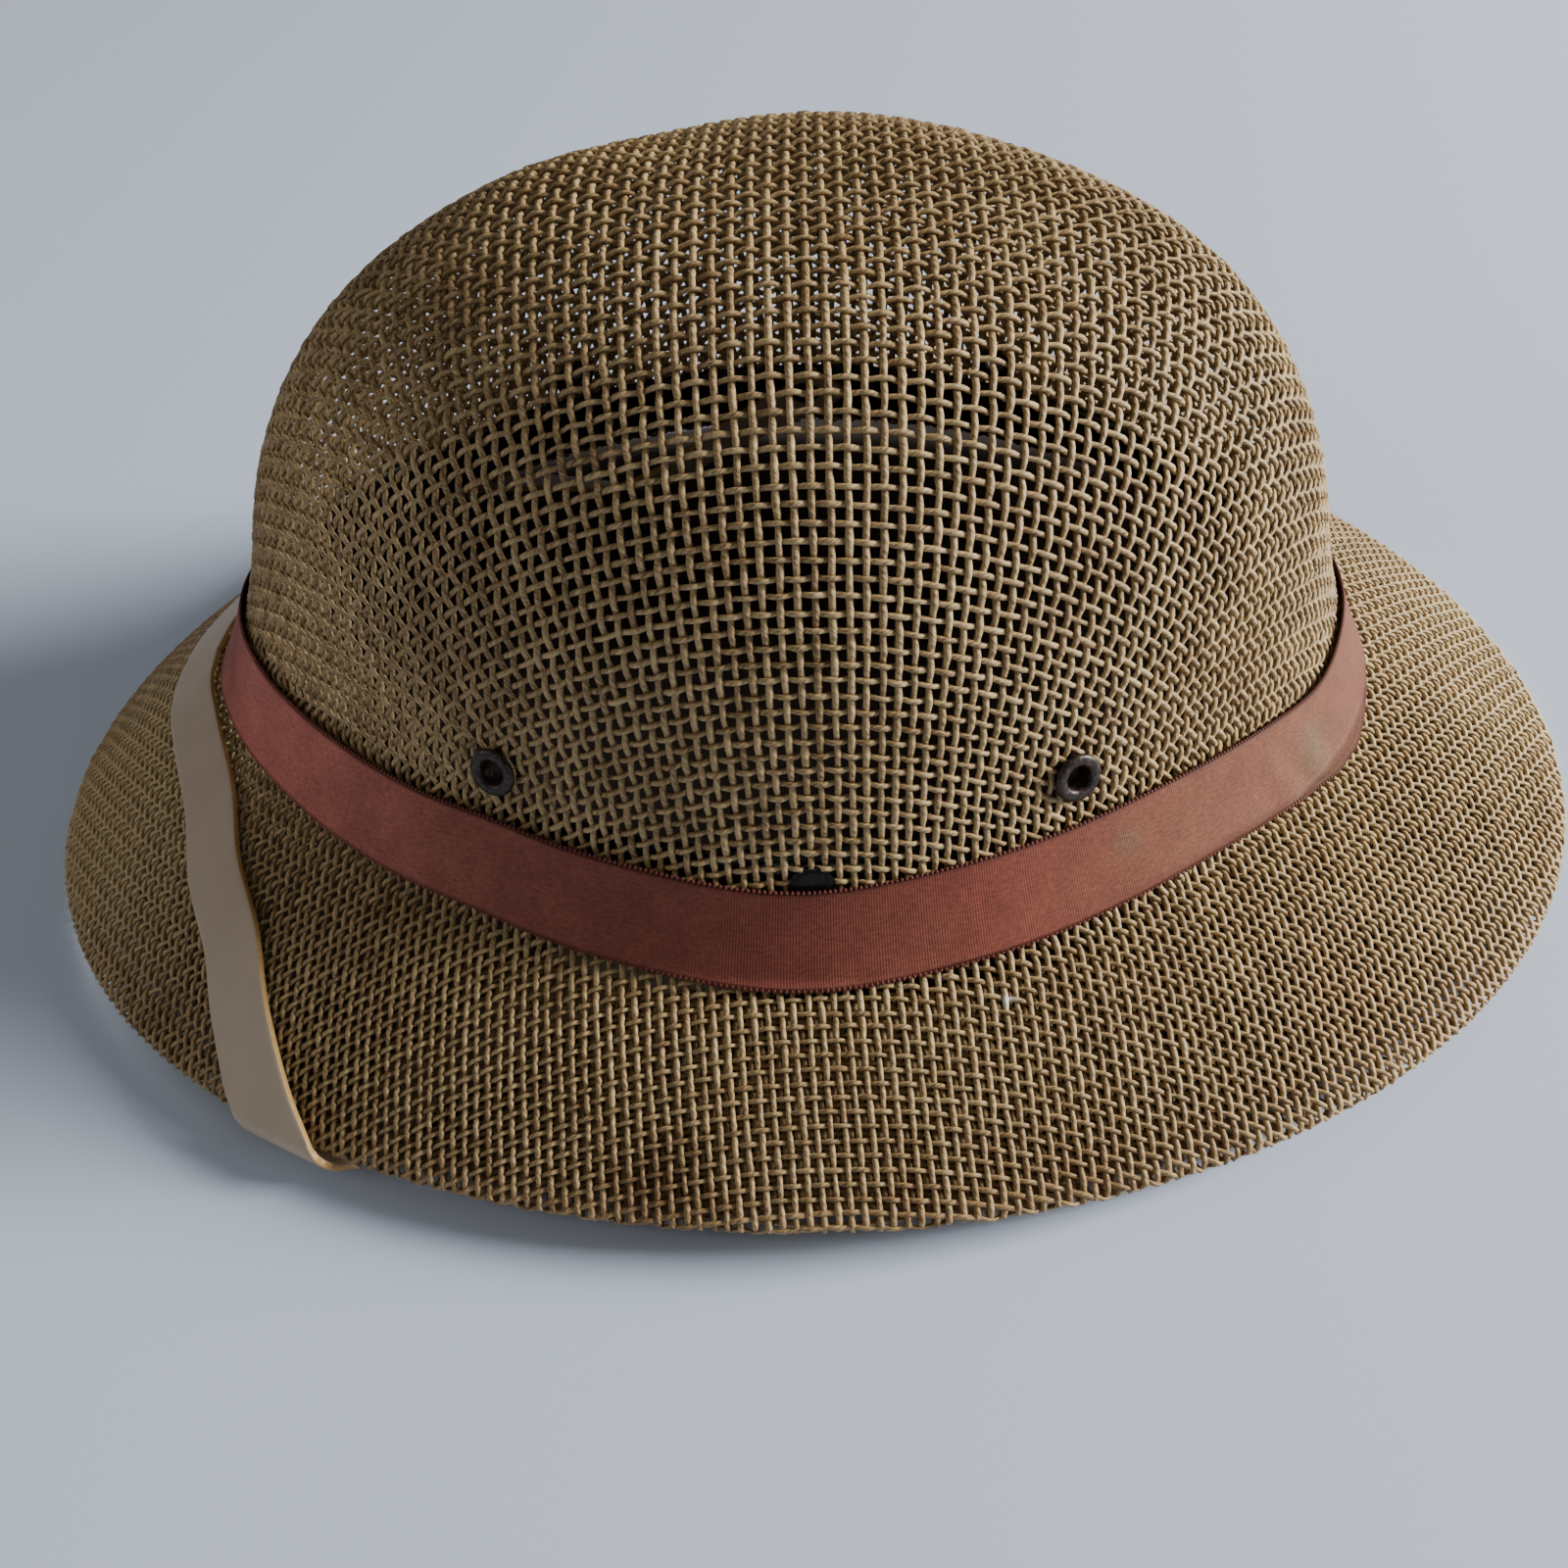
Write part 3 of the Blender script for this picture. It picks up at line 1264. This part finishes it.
@dataclass
class ChinStrap:
    """The flat strap, worn up over the front of the brim, under its rim and up to the rivets."""

    width: float = 12.7
    wall: float = 1.4
    corner: float = 0.28
    crowning: float = 0.06
    ease: float = 0.35
    drop: float = 11.4
    drop_turn: float = 20.0
    rivet_height: float = 12.4
    gap: float = 0.3
    sweatband_wall: float = 1.2
    steps: int = 5
    face_cuts: int = 7
    over: tuple[StrapCut, ...] = (
        StrapCut(0, 0.17, 0), StrapCut(8, 0.17, 0), StrapCut(18, 0.17, 0), StrapCut(28, 0.24, 0),
        StrapCut(35.2, 0.39, 0.1), StrapCut(41.8, 0.53, 0.3), StrapCut(46.6, 0.715, 0.7),
        StrapCut(51.1, 0.9, 1), StrapCut(53.5, 1, 1))
    tab: tuple[TabCut, ...] = (
        TabCut(9, -12.4, 1), TabCut(4.5, -6.4, 0), TabCut(0, 0, 0), TabCut(-3.4, 6, 0))

    def build(self, form: HelmetForm) -> None:
        """Carries the section along the route of one side and its mirror image.

        Args:
            form: the helmet's surface.
        """
        centre, normal, skew, tangent = self.route(form)
        path = spline(centre, self.steps)
        facing = unit(spline(normal, self.steps))
        lean = np.interp(np.arange(len(path)) / self.steps, np.arange(len(skew)), skew)
        forward = np.gradient(path, axis=0)
        forward = unit(forward - (forward * facing).sum(-1, keepdims=True) * facing)
        square = unit(np.cross(facing, forward))
        flat = unit(tangent - (facing @ tangent)[:, None] * facing)
        flat *= np.where((flat * square).sum(-1) < 0, -1, 1)[:, None]
        across = unit(square + (flat - square) * lean[:, None])
        across = across / (across * square).sum(-1, keepdims=True)
        section, edge = self.section()
        ring = (path[:, None] + across[:, None] * section[None, :, :1]
                + facing[:, None] * section[None, :, 1:])
        whole = np.concatenate([ring[1:][::-1] * [1, -1, 1], ring])
        rows, columns = whole.shape[:2]
        ends = np.stack([whole[0].mean(0), whole[-1].mean(0)])
        around = np.arange(columns)
        last = (rows - 1) * columns
        caps = np.concatenate([
            np.stack([around, np.full(columns, rows * columns), np.roll(around, -1)], -1),
            np.stack([last + around, last + np.roll(around, -1),
                      np.full(columns, rows * columns + 1)], -1)])
        mesh = bpy.data.meshes.new("chin_strap_leather")
        mesh.from_pydata((np.concatenate([whole.reshape(-1, 3), ends]) * MM).tolist(), [],
                         grid_quads(rows, columns, False).tolist() + caps.tolist())
        mesh.polygons.foreach_set("use_smooth", np.ones(len(mesh.polygons), dtype=bool))
        add_value(mesh, "cut_edge", np.concatenate([np.tile(edge, rows), [1, 1]]))
        piece = add_object("chin_strap_leather", mesh, StrapLeather().material("smooth_strap_leather"))
        outward(mesh)
        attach(piece, "root")
        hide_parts("chin_strap")
        LOG.info("chin_strap_leather: %d faces", len(mesh.polygons))

    def section(self) -> tuple[Array, Array]:
        """Draws the strap's section: two flat faces, crowned by a parabola, and round corners.

        Returns:
            Points of the outline, across and out, and how much each shows the cut edge.
        """
        half, thick, soft = self.width / 2, self.wall / 2, self.corner
        quarter = np.radians([-90, -45, 0])
        lower = np.stack([half - soft + soft * np.cos(quarter),
                          -thick + soft + soft * np.sin(quarter)], -1)
        upper = lower[::-1] * [1, -1]
        x = np.linspace(0.85, -0.85, self.face_cuts) * (half - soft)
        face = np.stack([x, thick + self.crowning * (1 - (x / half) ** 2)], -1)
        right = np.concatenate([lower, upper])
        outline = np.concatenate([right, face, right[::-1] * [-1, 1], -face])
        side = [0, 0.6, 1, 1, 0.6, 0]
        return outline, np.concatenate([side, 0 * x, side, 0 * x])

    def route(self, form: HelmetForm) -> tuple[Array, Array, Array, Array]:
        """Lays the middle line on the wearer's right: over the brim, round its rim, and up.

        Args:
            form: the helmet's surface.

        Returns:
            Points, normals and skews of the cuts, and the rim's tangent where it folds.
        """
        lift = form.brim_wall / 2 + self.ease + self.wall / 2
        turn = np.pi - np.radians([cut.turn for cut in self.over])
        reach = np.array([cut.reach for cut in self.over], dtype=float)
        normal = form.brim_normal(turn, reach)
        centre = form.brim(turn, reach) + normal * lift
        last = turn[-1:]
        ahead = form.rim(last + TURN_STEP) - form.rim(last - TURN_STEP)
        tangent = unit(-ahead)[0]
        path = centre[-1] - centre[-2]
        share = path @ tangent
        slant = share / np.sqrt(path @ path - share * share)
        brim_normal = form.brim_normal(last, np.ones(1))[0]
        out = unit(np.cross(ahead, brim_normal))[0]
        angle = np.radians([60, 30, 0, -30, -60, -90])[:, None]
        nose = brim_normal * np.sin(angle) + out * np.cos(angle)
        fold = form.rim(last) + nose * lift + tangent * (np.pi / 2 - angle) * lift * slant
        chord = self.width ** 2 / (8 * form.crown_half_width)
        depth = form.crown_wall + self.gap + self.sweatband_wall + self.gap + chord + self.wall / 2
        ends = [self.inside(form, cut.turn, self.rivet_height + cut.rise, depth + cut.depth)
                for cut in self.tab]
        below, below_normal = self.inside(form, self.drop_turn, 0, depth)
        below = below - [0, 0, self.drop]
        below_normal = unit(below_normal + (nose[-1] - below_normal) * 0.35)
        centre = np.concatenate([centre, fold, [(fold[-1] + below) / 2, below], [p for p, _ in ends]])
        normal = np.concatenate([normal, nose, [unit(nose[-1] + below_normal), below_normal],
                                 [n for _, n in ends]])
        skew = np.array([*[cut.skew for cut in self.over], *[1] * len(fold), 0.3, 0,
                         *[0] * len(ends)], dtype=float)
        return centre, normal, skew, tangent

    @staticmethod
    def inside(form: HelmetForm, degrees: float, rise: float, deep: float) -> tuple[Array, Array]:
        """Finds a place inside the crown's right wall.

        Args:
            form: the helmet's surface.
            degrees: turn forwards from the middle of the side.
            rise: height over the root.
            deep: distance in from the outside.

        Returns:
            The point and the inward normal.
        """
        turn = np.array([np.pi / 2 + np.radians(degrees)])
        inward = -form.crown_normal(turn, np.array([max(rise, 0.0)]))[0]
        return form.crown(turn, np.array([rise]))[0] + inward * deep, inward


def blend(one: Array, two: Array, low: Array, high: Array, at: Array) -> Array:
    """Goes straight from one at low to two at high."""
    return (high - at) / (high - low) * one + (at - low) / (high - low) * two


def spline(points: Array, steps: int) -> Array:
    """A smooth line through points: three rounds of blends, with chords' square roots as knots.

    Args:
        points: the points.
        steps: number of steps from each point to the next.

    Returns:
        Points of the line, with both ends.
    """
    ends = np.concatenate([[2 * points[0] - points[1]], points, [2 * points[-1] - points[-2]]])
    chords = np.linalg.norm(np.diff(ends, axis=0), axis=-1)
    knots = np.concatenate([[0], np.cumsum(np.sqrt(chords))])
    p = [ends[k:k + len(points) - 1, None] for k in range(4)]
    t = [knots[k:k + len(points) - 1, None, None] for k in range(4)]
    x = t[1] + (t[2] - t[1]) * np.arange(steps)[None, :, None] / steps
    one, two, three = (blend(p[k], p[k + 1], t[k], t[k + 1], x) for k in range(3))
    four, five = blend(one, two, t[0], t[2], x), blend(two, three, t[1], t[3], x)
    line = blend(four, five, t[1], t[2], x)
    return np.concatenate([line.reshape(-1, points.shape[1]), points[-1:]])


@dataclass(frozen=True)
class JapannedMetal:
    """Black japanned steel: a baked lacquer on stamped parts.

    It is dark and half glossy, with fine scratches, and worn to brown metal in specks.
    """

    coat: str = "2B2423"
    bare: str = "7A6455"
    speck_size: float = 0.667

    def material(self, name: str) -> bpy.types.Material:
        """Builds the finish: one fine noise sets both the wear and the gloss.

        Args:
            name: the material's name.

        Returns:
            The material.
        """
        material, tree, shader = fresh_material(name, {"Metallic": 0.5})
        coords = add_node(tree, "ShaderNodeTexCoord")
        grit = add_node(tree, "ShaderNodeTexNoise",
                        {"Vector": coords.outputs["Object"], "Detail": 4.0,
                         "Scale": 1 / (self.speck_size * MM)})
        worn = add_node(tree, "ShaderNodeMapRange", {"Value": grit.outputs["Fac"], "From Min": 0.5,
                                                     "From Max": 0.75, "To Max": 0.6})
        base = add_node(tree, "ShaderNodeMix", {"Factor": worn.outputs[0], 6: linear(self.coat),
                                                7: linear(self.bare)}, data_type="RGBA")
        tree.links.new(base.outputs[2], shader.inputs["Base Color"])
        rough = add_node(tree, "ShaderNodeMapRange",
                         {"Value": grit.outputs["Fac"], "From Min": 0.3, "From Max": 0.8,
                          "To Min": 0.28, "To Max": 0.55})
        tree.links.new(rough.outputs[0], shader.inputs["Roughness"])
        return material


@dataclass
class Eyelets:
    """Vent eyelets: a rolled flange and a barrel, turned about the hole's axis."""

    bore: float = 2.3
    barrel: float = 2.9
    flange: float = 4.6
    plate: float = 0.8
    seat: float = 0.45
    height: float = 27.3
    front: float = 29.0
    back: float = 25.5
    sides: int = 40
    cleared: float = 2.5

    def seats(self, form: HelmetForm) -> dict[str, tuple[Array, Array]]:
        """Places the eyelets, mirrored from side to side.

        Args:
            form: the helmet's surface.

        Returns:
            Name, point and axis of each eyelet.
        """
        places = {}
        for side, middle in (("left", -np.pi / 2), ("right", np.pi / 2)):
            for end, degrees in (("front", self.front), ("back", -self.back)):
                turn = np.array([middle + np.sign(middle) * np.radians(degrees)])
                rise = np.array([self.height])
                places[f"eyelet_{side}_{end}"] = (form.crown(turn, rise)[0],
                                                  form.crown_normal(turn, rise)[0])
        return places

    def outline(self, form: HelmetForm) -> Array:
        """Draws what is turned: a half round lip outside, the bore, and a flat washer inside.

        Args:
            form: the helmet's surface.

        Returns:
            Radius and height of each point.
        """
        lip = np.radians(np.linspace(0, 180, 9))
        half = (self.flange - self.bore) / 2
        low = -form.crown_wall - self.seat
        outer = np.stack([self.bore + half + half * np.cos(lip),
                          self.seat + self.plate * np.sin(lip) ** 0.8], -1)
        return np.concatenate([
            [[self.barrel, self.seat - 0.05], [self.flange - 0.1, self.seat - 0.05]], outer,
            [[self.bore, low - 0.3], [self.bore + 0.3, low - 0.5], [self.flange - 0.3, low - 0.5],
             [self.flange, low - 0.2], [self.flange - 0.2, low], [self.barrel, low]]])

    def build(self, form: HelmetForm) -> None:
        """Turns a ring of the outline about each eyelet's axis.

        Args:
            form: the helmet's surface.
        """
        material = JapannedMetal().material("black_japanned_steel")
        outline = self.outline(form)
        angle = 2 * np.pi * np.arange(self.sides) / self.sides
        for name, (point, axis) in self.seats(form).items():
            across = unit(np.cross(axis, [0.0, 0.0, 1.0]))
            up = np.cross(axis, across)
            arm = across[None] * np.cos(angle)[:, None] + up[None] * np.sin(angle)[:, None]
            ring = point + arm[:, None] * outline[None, :, :1] + axis * outline[None, :, 1:]
            quads = grid_quads(self.sides, len(outline), True)
            piece = add_mesh(f"{name}_turned", ring.reshape(-1, 3), quads, material)
            outward(piece.data)
            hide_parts(name)


@dataclass(frozen=True)
class Oilcloth:
    """Black oilcloth: cotton coated with boiled oil, rolled smooth. It is glossy and creases."""

    dark: str = "141214"
    light: str = "2A2629"
    crease_size: float = 4.55

    def material(self, name: str) -> bpy.types.Material:
        """Builds the finish: one noise sets both the creases and the tone.

        Args:
            name: the material's name.

        Returns:
            The material.
        """
        material, tree, shader = fresh_material(name, {"Roughness": 0.32})
        coords = add_node(tree, "ShaderNodeTexCoord")
        crease = add_node(tree, "ShaderNodeTexNoise",
                          {"Vector": coords.outputs["Object"], "Detail": 5.0,
                           "Scale": 1 / (self.crease_size * MM)})
        bump = add_node(tree, "ShaderNodeBump", {"Height": crease.outputs["Fac"],
                                                 "Strength": 0.4, "Distance": 0.15 * MM})
        tree.links.new(bump.outputs[0], shader.inputs["Normal"])
        tone = add_node(tree, "ShaderNodeMix", {"Factor": crease.outputs["Fac"],
                                                6: linear(self.dark), 7: linear(self.light)},
                        data_type="RGBA")
        tree.links.new(tone.outputs[2], shader.inputs["Base Color"])
        return material


@dataclass
class Sweatband:
    """The black oilcloth band inside the foot of the crown."""

    foot: float = 3.0
    top: float = 21.0
    wall: float = 1.2
    gap: float = 0.3
    swell: float = 0.25
    columns: int = 240
    rows: int = 10

    def build(self, form: HelmetForm) -> None:
        """Makes a closed band, whose inner face swells by a sine between the edges.

        Args:
            form: the helmet's surface.
        """
        turn = np.linspace(0, 2 * np.pi, self.columns, endpoint=False)
        up = np.linspace(0, 1, self.rows)
        share = np.concatenate([up, up[::-1]])
        deep = np.concatenate([np.full(self.rows, self.wall), np.zeros(self.rows)])
        t, v = np.meshgrid(turn, share, indexing="ij")
        deep = np.broadcast_to(deep, t.shape) + self.swell * np.sin(np.pi * v) * (deep > 0)
        rise = self.foot + (self.top - self.foot) * v
        off = form.crown_wall + self.gap + deep
        points = form.crown(t, rise) - form.crown_normal(t, rise) * off[..., None]
        quads = grid_quads(self.columns, len(share), True)
        piece = add_mesh("sweatband_oilcloth", points.reshape(-1, 3), quads,
                         Oilcloth().material("black_oilcloth"))
        outward(piece.data)
        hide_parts("sweatband")


@dataclass
class StrapRivets:
    """The strap's rivets keep their CAD shape and get a glossy black finish."""

    height: float = 12.4
    pressed_radius: float = 3.8
    pressed_depth: float = 0.9

    def seats(self, form: HelmetForm) -> list[tuple[Array, Array]]:
        """Places the rivets, in the middle of each side.

        Args:
            form: the helmet's surface.

        Returns:
            Point and axis of each rivet.
        """
        turns = [np.array([side * np.pi / 2]) for side in (-1, 1)]
        rise = np.array([self.height])
        return [(form.crown(turn, rise)[0], form.crown_normal(turn, rise)[0]) for turn in turns]

    def dress(self) -> None:
        """Assigns the finish to the two CAD nodes."""
        material = JapannedMetal(coat="141012", bare="3A302C").material("black_lacquered_rivet")
        for side in ("left", "right"):
            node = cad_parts[f"strap_rivet_{side}"]
            node.data.materials.clear()
            node.data.materials.append(material)


@dataclass
class Studio:
    """A plain pale floor, soft light, and the camera at the photograph's angle.

    The camera's angles are in degrees, its distance and target in millimetres. Lamps are placed
    in metres.
    """

    azimuth: float = 3.4233
    elevation: float = 44.1264
    roll: float = -4.7447
    distance: float = 368.9
    target: tuple[float, float, float] = (-3.9, 0.0, -8.4)
    lens: float = 36.082
    shift: float = -0.01
    floor: str = "CFDEF8"
    floor_half: float = 4.0
    card: str = "2C2420"
    card_height: float = 0.1
    card_cuts: int = 96

    def build(self) -> None:
        """Sets up floor, card, world, lights and camera."""
        half = self.floor_half
        mesh = bpy.data.meshes.new("floor")
        mesh.from_pydata([(-half, -half, 0), (half, -half, 0), (half, half, 0), (-half, half, 0)],
                         [], [(0, 1, 2, 3)])
        material, _, _ = fresh_material("pale_floor", {"Base Color": linear(self.floor),
                                                       "Roughness": 0.9})
        add_object("floor", mesh, material)
        self.black_card()
        world = bpy.data.worlds.new("soft_room")
        world.use_nodes = True
        sky = world.node_tree.nodes["Background"]
        sky.inputs[0].default_value = linear("F1EFEA")
        sky.inputs[1].default_value = 0.19
        bpy.context.scene.world = world
        self.light("window", (2.88, 0.14, 1.02), 250.0, 1.1, "FFFBF4")
        self.light("reflector", (-2.8, -0.7, 1.3), 13.0, 1.6, "FFF3E4")
        self.camera()

    def black_card(self) -> None:
        """A studio's black card on the floor under the helmet, with a soft pale edge.

        The photograph's helmet is dark inside, so its weave shows against black, and the soft
        surface that it lies on lets no light in under the rim. The card is the rim's oval at four
        scales, and reaches a little further at the far side, where the rim is lifted.
        """
        turn = np.linspace(0, 2 * np.pi, self.card_cuts, endpoint=False)
        behind = smoothstep(np.sin(turn), 0.2, 0.7)
        hidden = smoothstep(np.sin(turn), 0.65, 0.9)
        scales = [0 * turn, 0.92 + 0.06 * behind + 0.09 * hidden,
                  0.95 + 0.07 * behind + 0.07 * hidden, 0.985 + 0.075 * behind + 0.07 * hidden]
        rings = [FORM.rim(turn) * [1, 1, 0] * scale[:, None] + [0, 0, self.card_height]
                 for scale in scales]
        mesh = bpy.data.meshes.new("black_card")
        mesh.from_pydata((np.concatenate(rings) * MM).tolist(), [],
                         grid_quads(len(rings), len(turn), False)[:, ::-1].tolist())
        add_value(mesh, "fade", np.repeat([0, 0, 0.35, 1.0], len(turn)))
        material, tree, shader = fresh_material("matt_black_card", {"Roughness": 0.9})
        edge = add_node(tree, "ShaderNodeAttribute", attribute_name="fade")
        tone = add_node(tree, "ShaderNodeMix", {"Factor": edge.outputs["Fac"], 6: linear(self.card),
                                                7: linear(self.floor)}, data_type="RGBA")
        tree.links.new(tone.outputs[2], shader.inputs["Base Color"])
        add_object("black_card", mesh, material)

    @staticmethod
    def pose(item: bpy.types.Object, right: Array, up: Array, back: Array, place: Array) -> None:
        """Puts a lamp or the camera into the scene.

        Args:
            item: the object.
            right: its own X axis.
            up: its own Y axis.
            back: its own Z axis, which it looks away from.
            place: where it stands, in metres.
        """
        basis = np.eye(4)
        basis[:3] = np.stack([right, up, back, place], 1)
        item.matrix_world = Matrix(basis.tolist())
        bpy.context.collection.objects.link(item)

    def light(self, name: str, place: tuple[float, float, float], watts: float, size: float,
              tone: str) -> None:
        """Adds a square soft light that looks at the helmet.

        Args:
            name: the lamp's name.
            place: where it stands, in metres.
            watts: its power.
            size: its side in metres.
            tone: its colour.
        """
        data = bpy.data.lights.new(name, "AREA")
        data.energy, data.size = watts, size
        data.color = linear(tone)[:3]
        back = unit(np.array(place) - [0, 0, 0.06])
        right = unit(np.cross([0, 0, 1.0], back))
        self.pose(bpy.data.objects.new(name, data), right, np.cross(back, right), back,
                  np.array(place))

    def camera(self) -> None:
        """Looks back along azimuth and elevation, turned by the roll."""
        az, el, roll = np.radians([self.azimuth, self.elevation, self.roll])
        back = np.array([np.sin(az) * np.cos(el), -np.cos(az) * np.cos(el), np.sin(el)])
        right = np.array([np.cos(az), np.sin(az), 0.0])
        up = np.cross(back, right)
        data = bpy.data.cameras.new("camera")
        data.sensor_width, data.lens = 36.0, self.lens
        data.shift_y = self.shift
        data.clip_start = 0.01
        eye = bpy.data.objects.new("camera", data)
        self.pose(eye, right * np.cos(roll) + up * np.sin(roll),
                  up * np.cos(roll) - right * np.sin(roll), back,
                  (np.array(self.target) + self.distance * back) * MM)
        bpy.context.scene.camera = eye


def main() -> None:
    """Builds the pieces in order and notes the two boxes."""
    logging.basicConfig(level=logging.INFO)
    eyelets, rivets = Eyelets(), StrapRivets()
    holes = [(*seat, eyelets.cleared) for seat in eyelets.seats(FORM).values()]
    pressed = [(*seat, rivets.pressed_radius, rivets.pressed_depth) for seat in rivets.seats(FORM)]
    StrawHood().build(FORM, holes, pressed)
    HatRibbon().build(FORM)
    Sweatband().build(FORM)
    ChinStrap().build(FORM)
    eyelets.build(FORM)
    rivets.dress()
    Studio().build()


if __name__ == "__main__":
    main()
